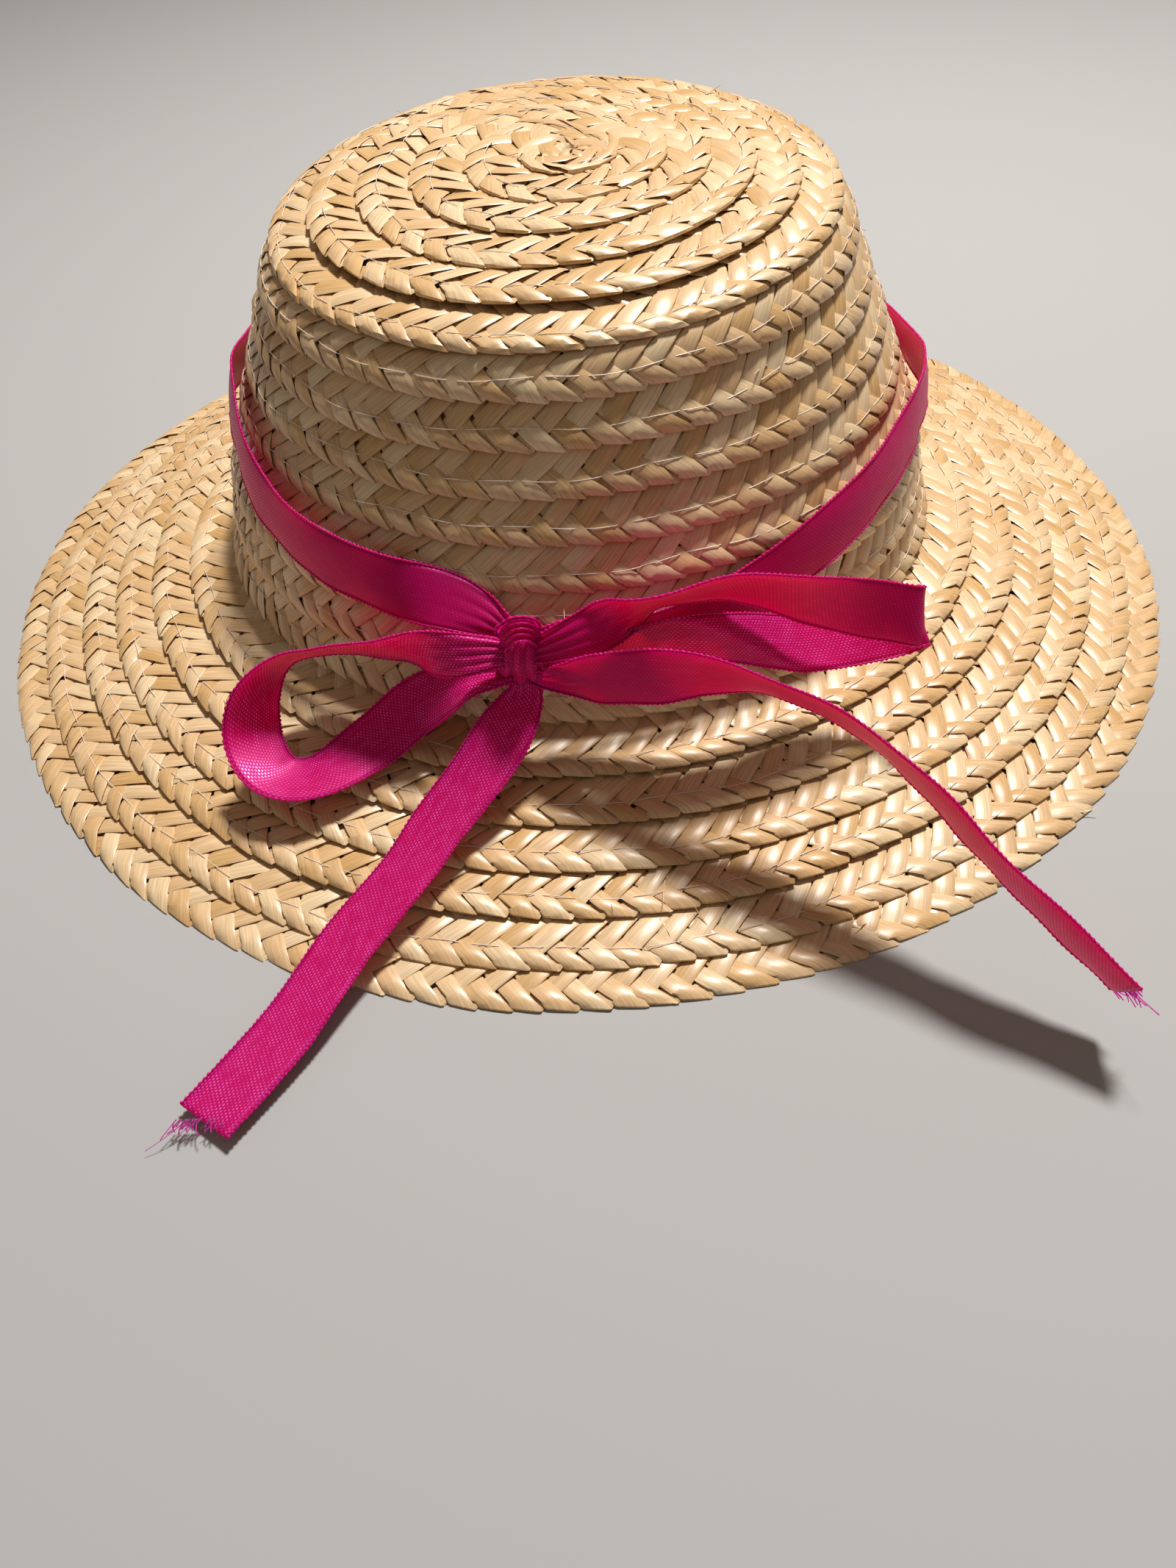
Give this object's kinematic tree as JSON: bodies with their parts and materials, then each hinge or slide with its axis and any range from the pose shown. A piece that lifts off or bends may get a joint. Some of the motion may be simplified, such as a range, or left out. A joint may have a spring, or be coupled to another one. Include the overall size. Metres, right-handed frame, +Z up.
{
  "type": "straw hat",
  "caption": "Miniature plaited straw hat with a wide sloping brim and a tapered, slightly leaning crown, with a satin ribbon tied in a bow at the front.",
  "frame": {"origin": "on the surface the hat rests on, under the middle of the whole part's box; the axis of the brim is 5.9 mm behind it", "axes": "+Z up out of the crown, -Y the front, where the bow is, +X the wearer's left, which is the right side of the picture"},
  "size_m": [0.156, 0.1678, 0.0529],
  "materials": {
    "crown_tip": "plaited wheat straw, satin",
    "crown_side": "plaited wheat straw, satin",
    "brim": "plaited wheat straw, satin",
    "ribbon_band": "satin ribbon",
    "bow_knot": "satin ribbon",
    "bow_loop_left": "satin ribbon",
    "bow_loop_right": "satin ribbon",
    "bow_tail_left": "satin ribbon",
    "bow_tail_right": "satin ribbon"
  },
  "bodies": {
    "root": {"crown_tip": "crown_tip", "crown_side": "crown_side", "brim": "brim", "ribbon_band": "ribbon_band", "bow_knot": "bow_knot", "bow_loop_left": "bow_loop_left", "bow_loop_right": "bow_loop_right", "bow_tail_left": "bow_tail_left", "bow_tail_right": "bow_tail_right"}
  },
  "joints": []
}
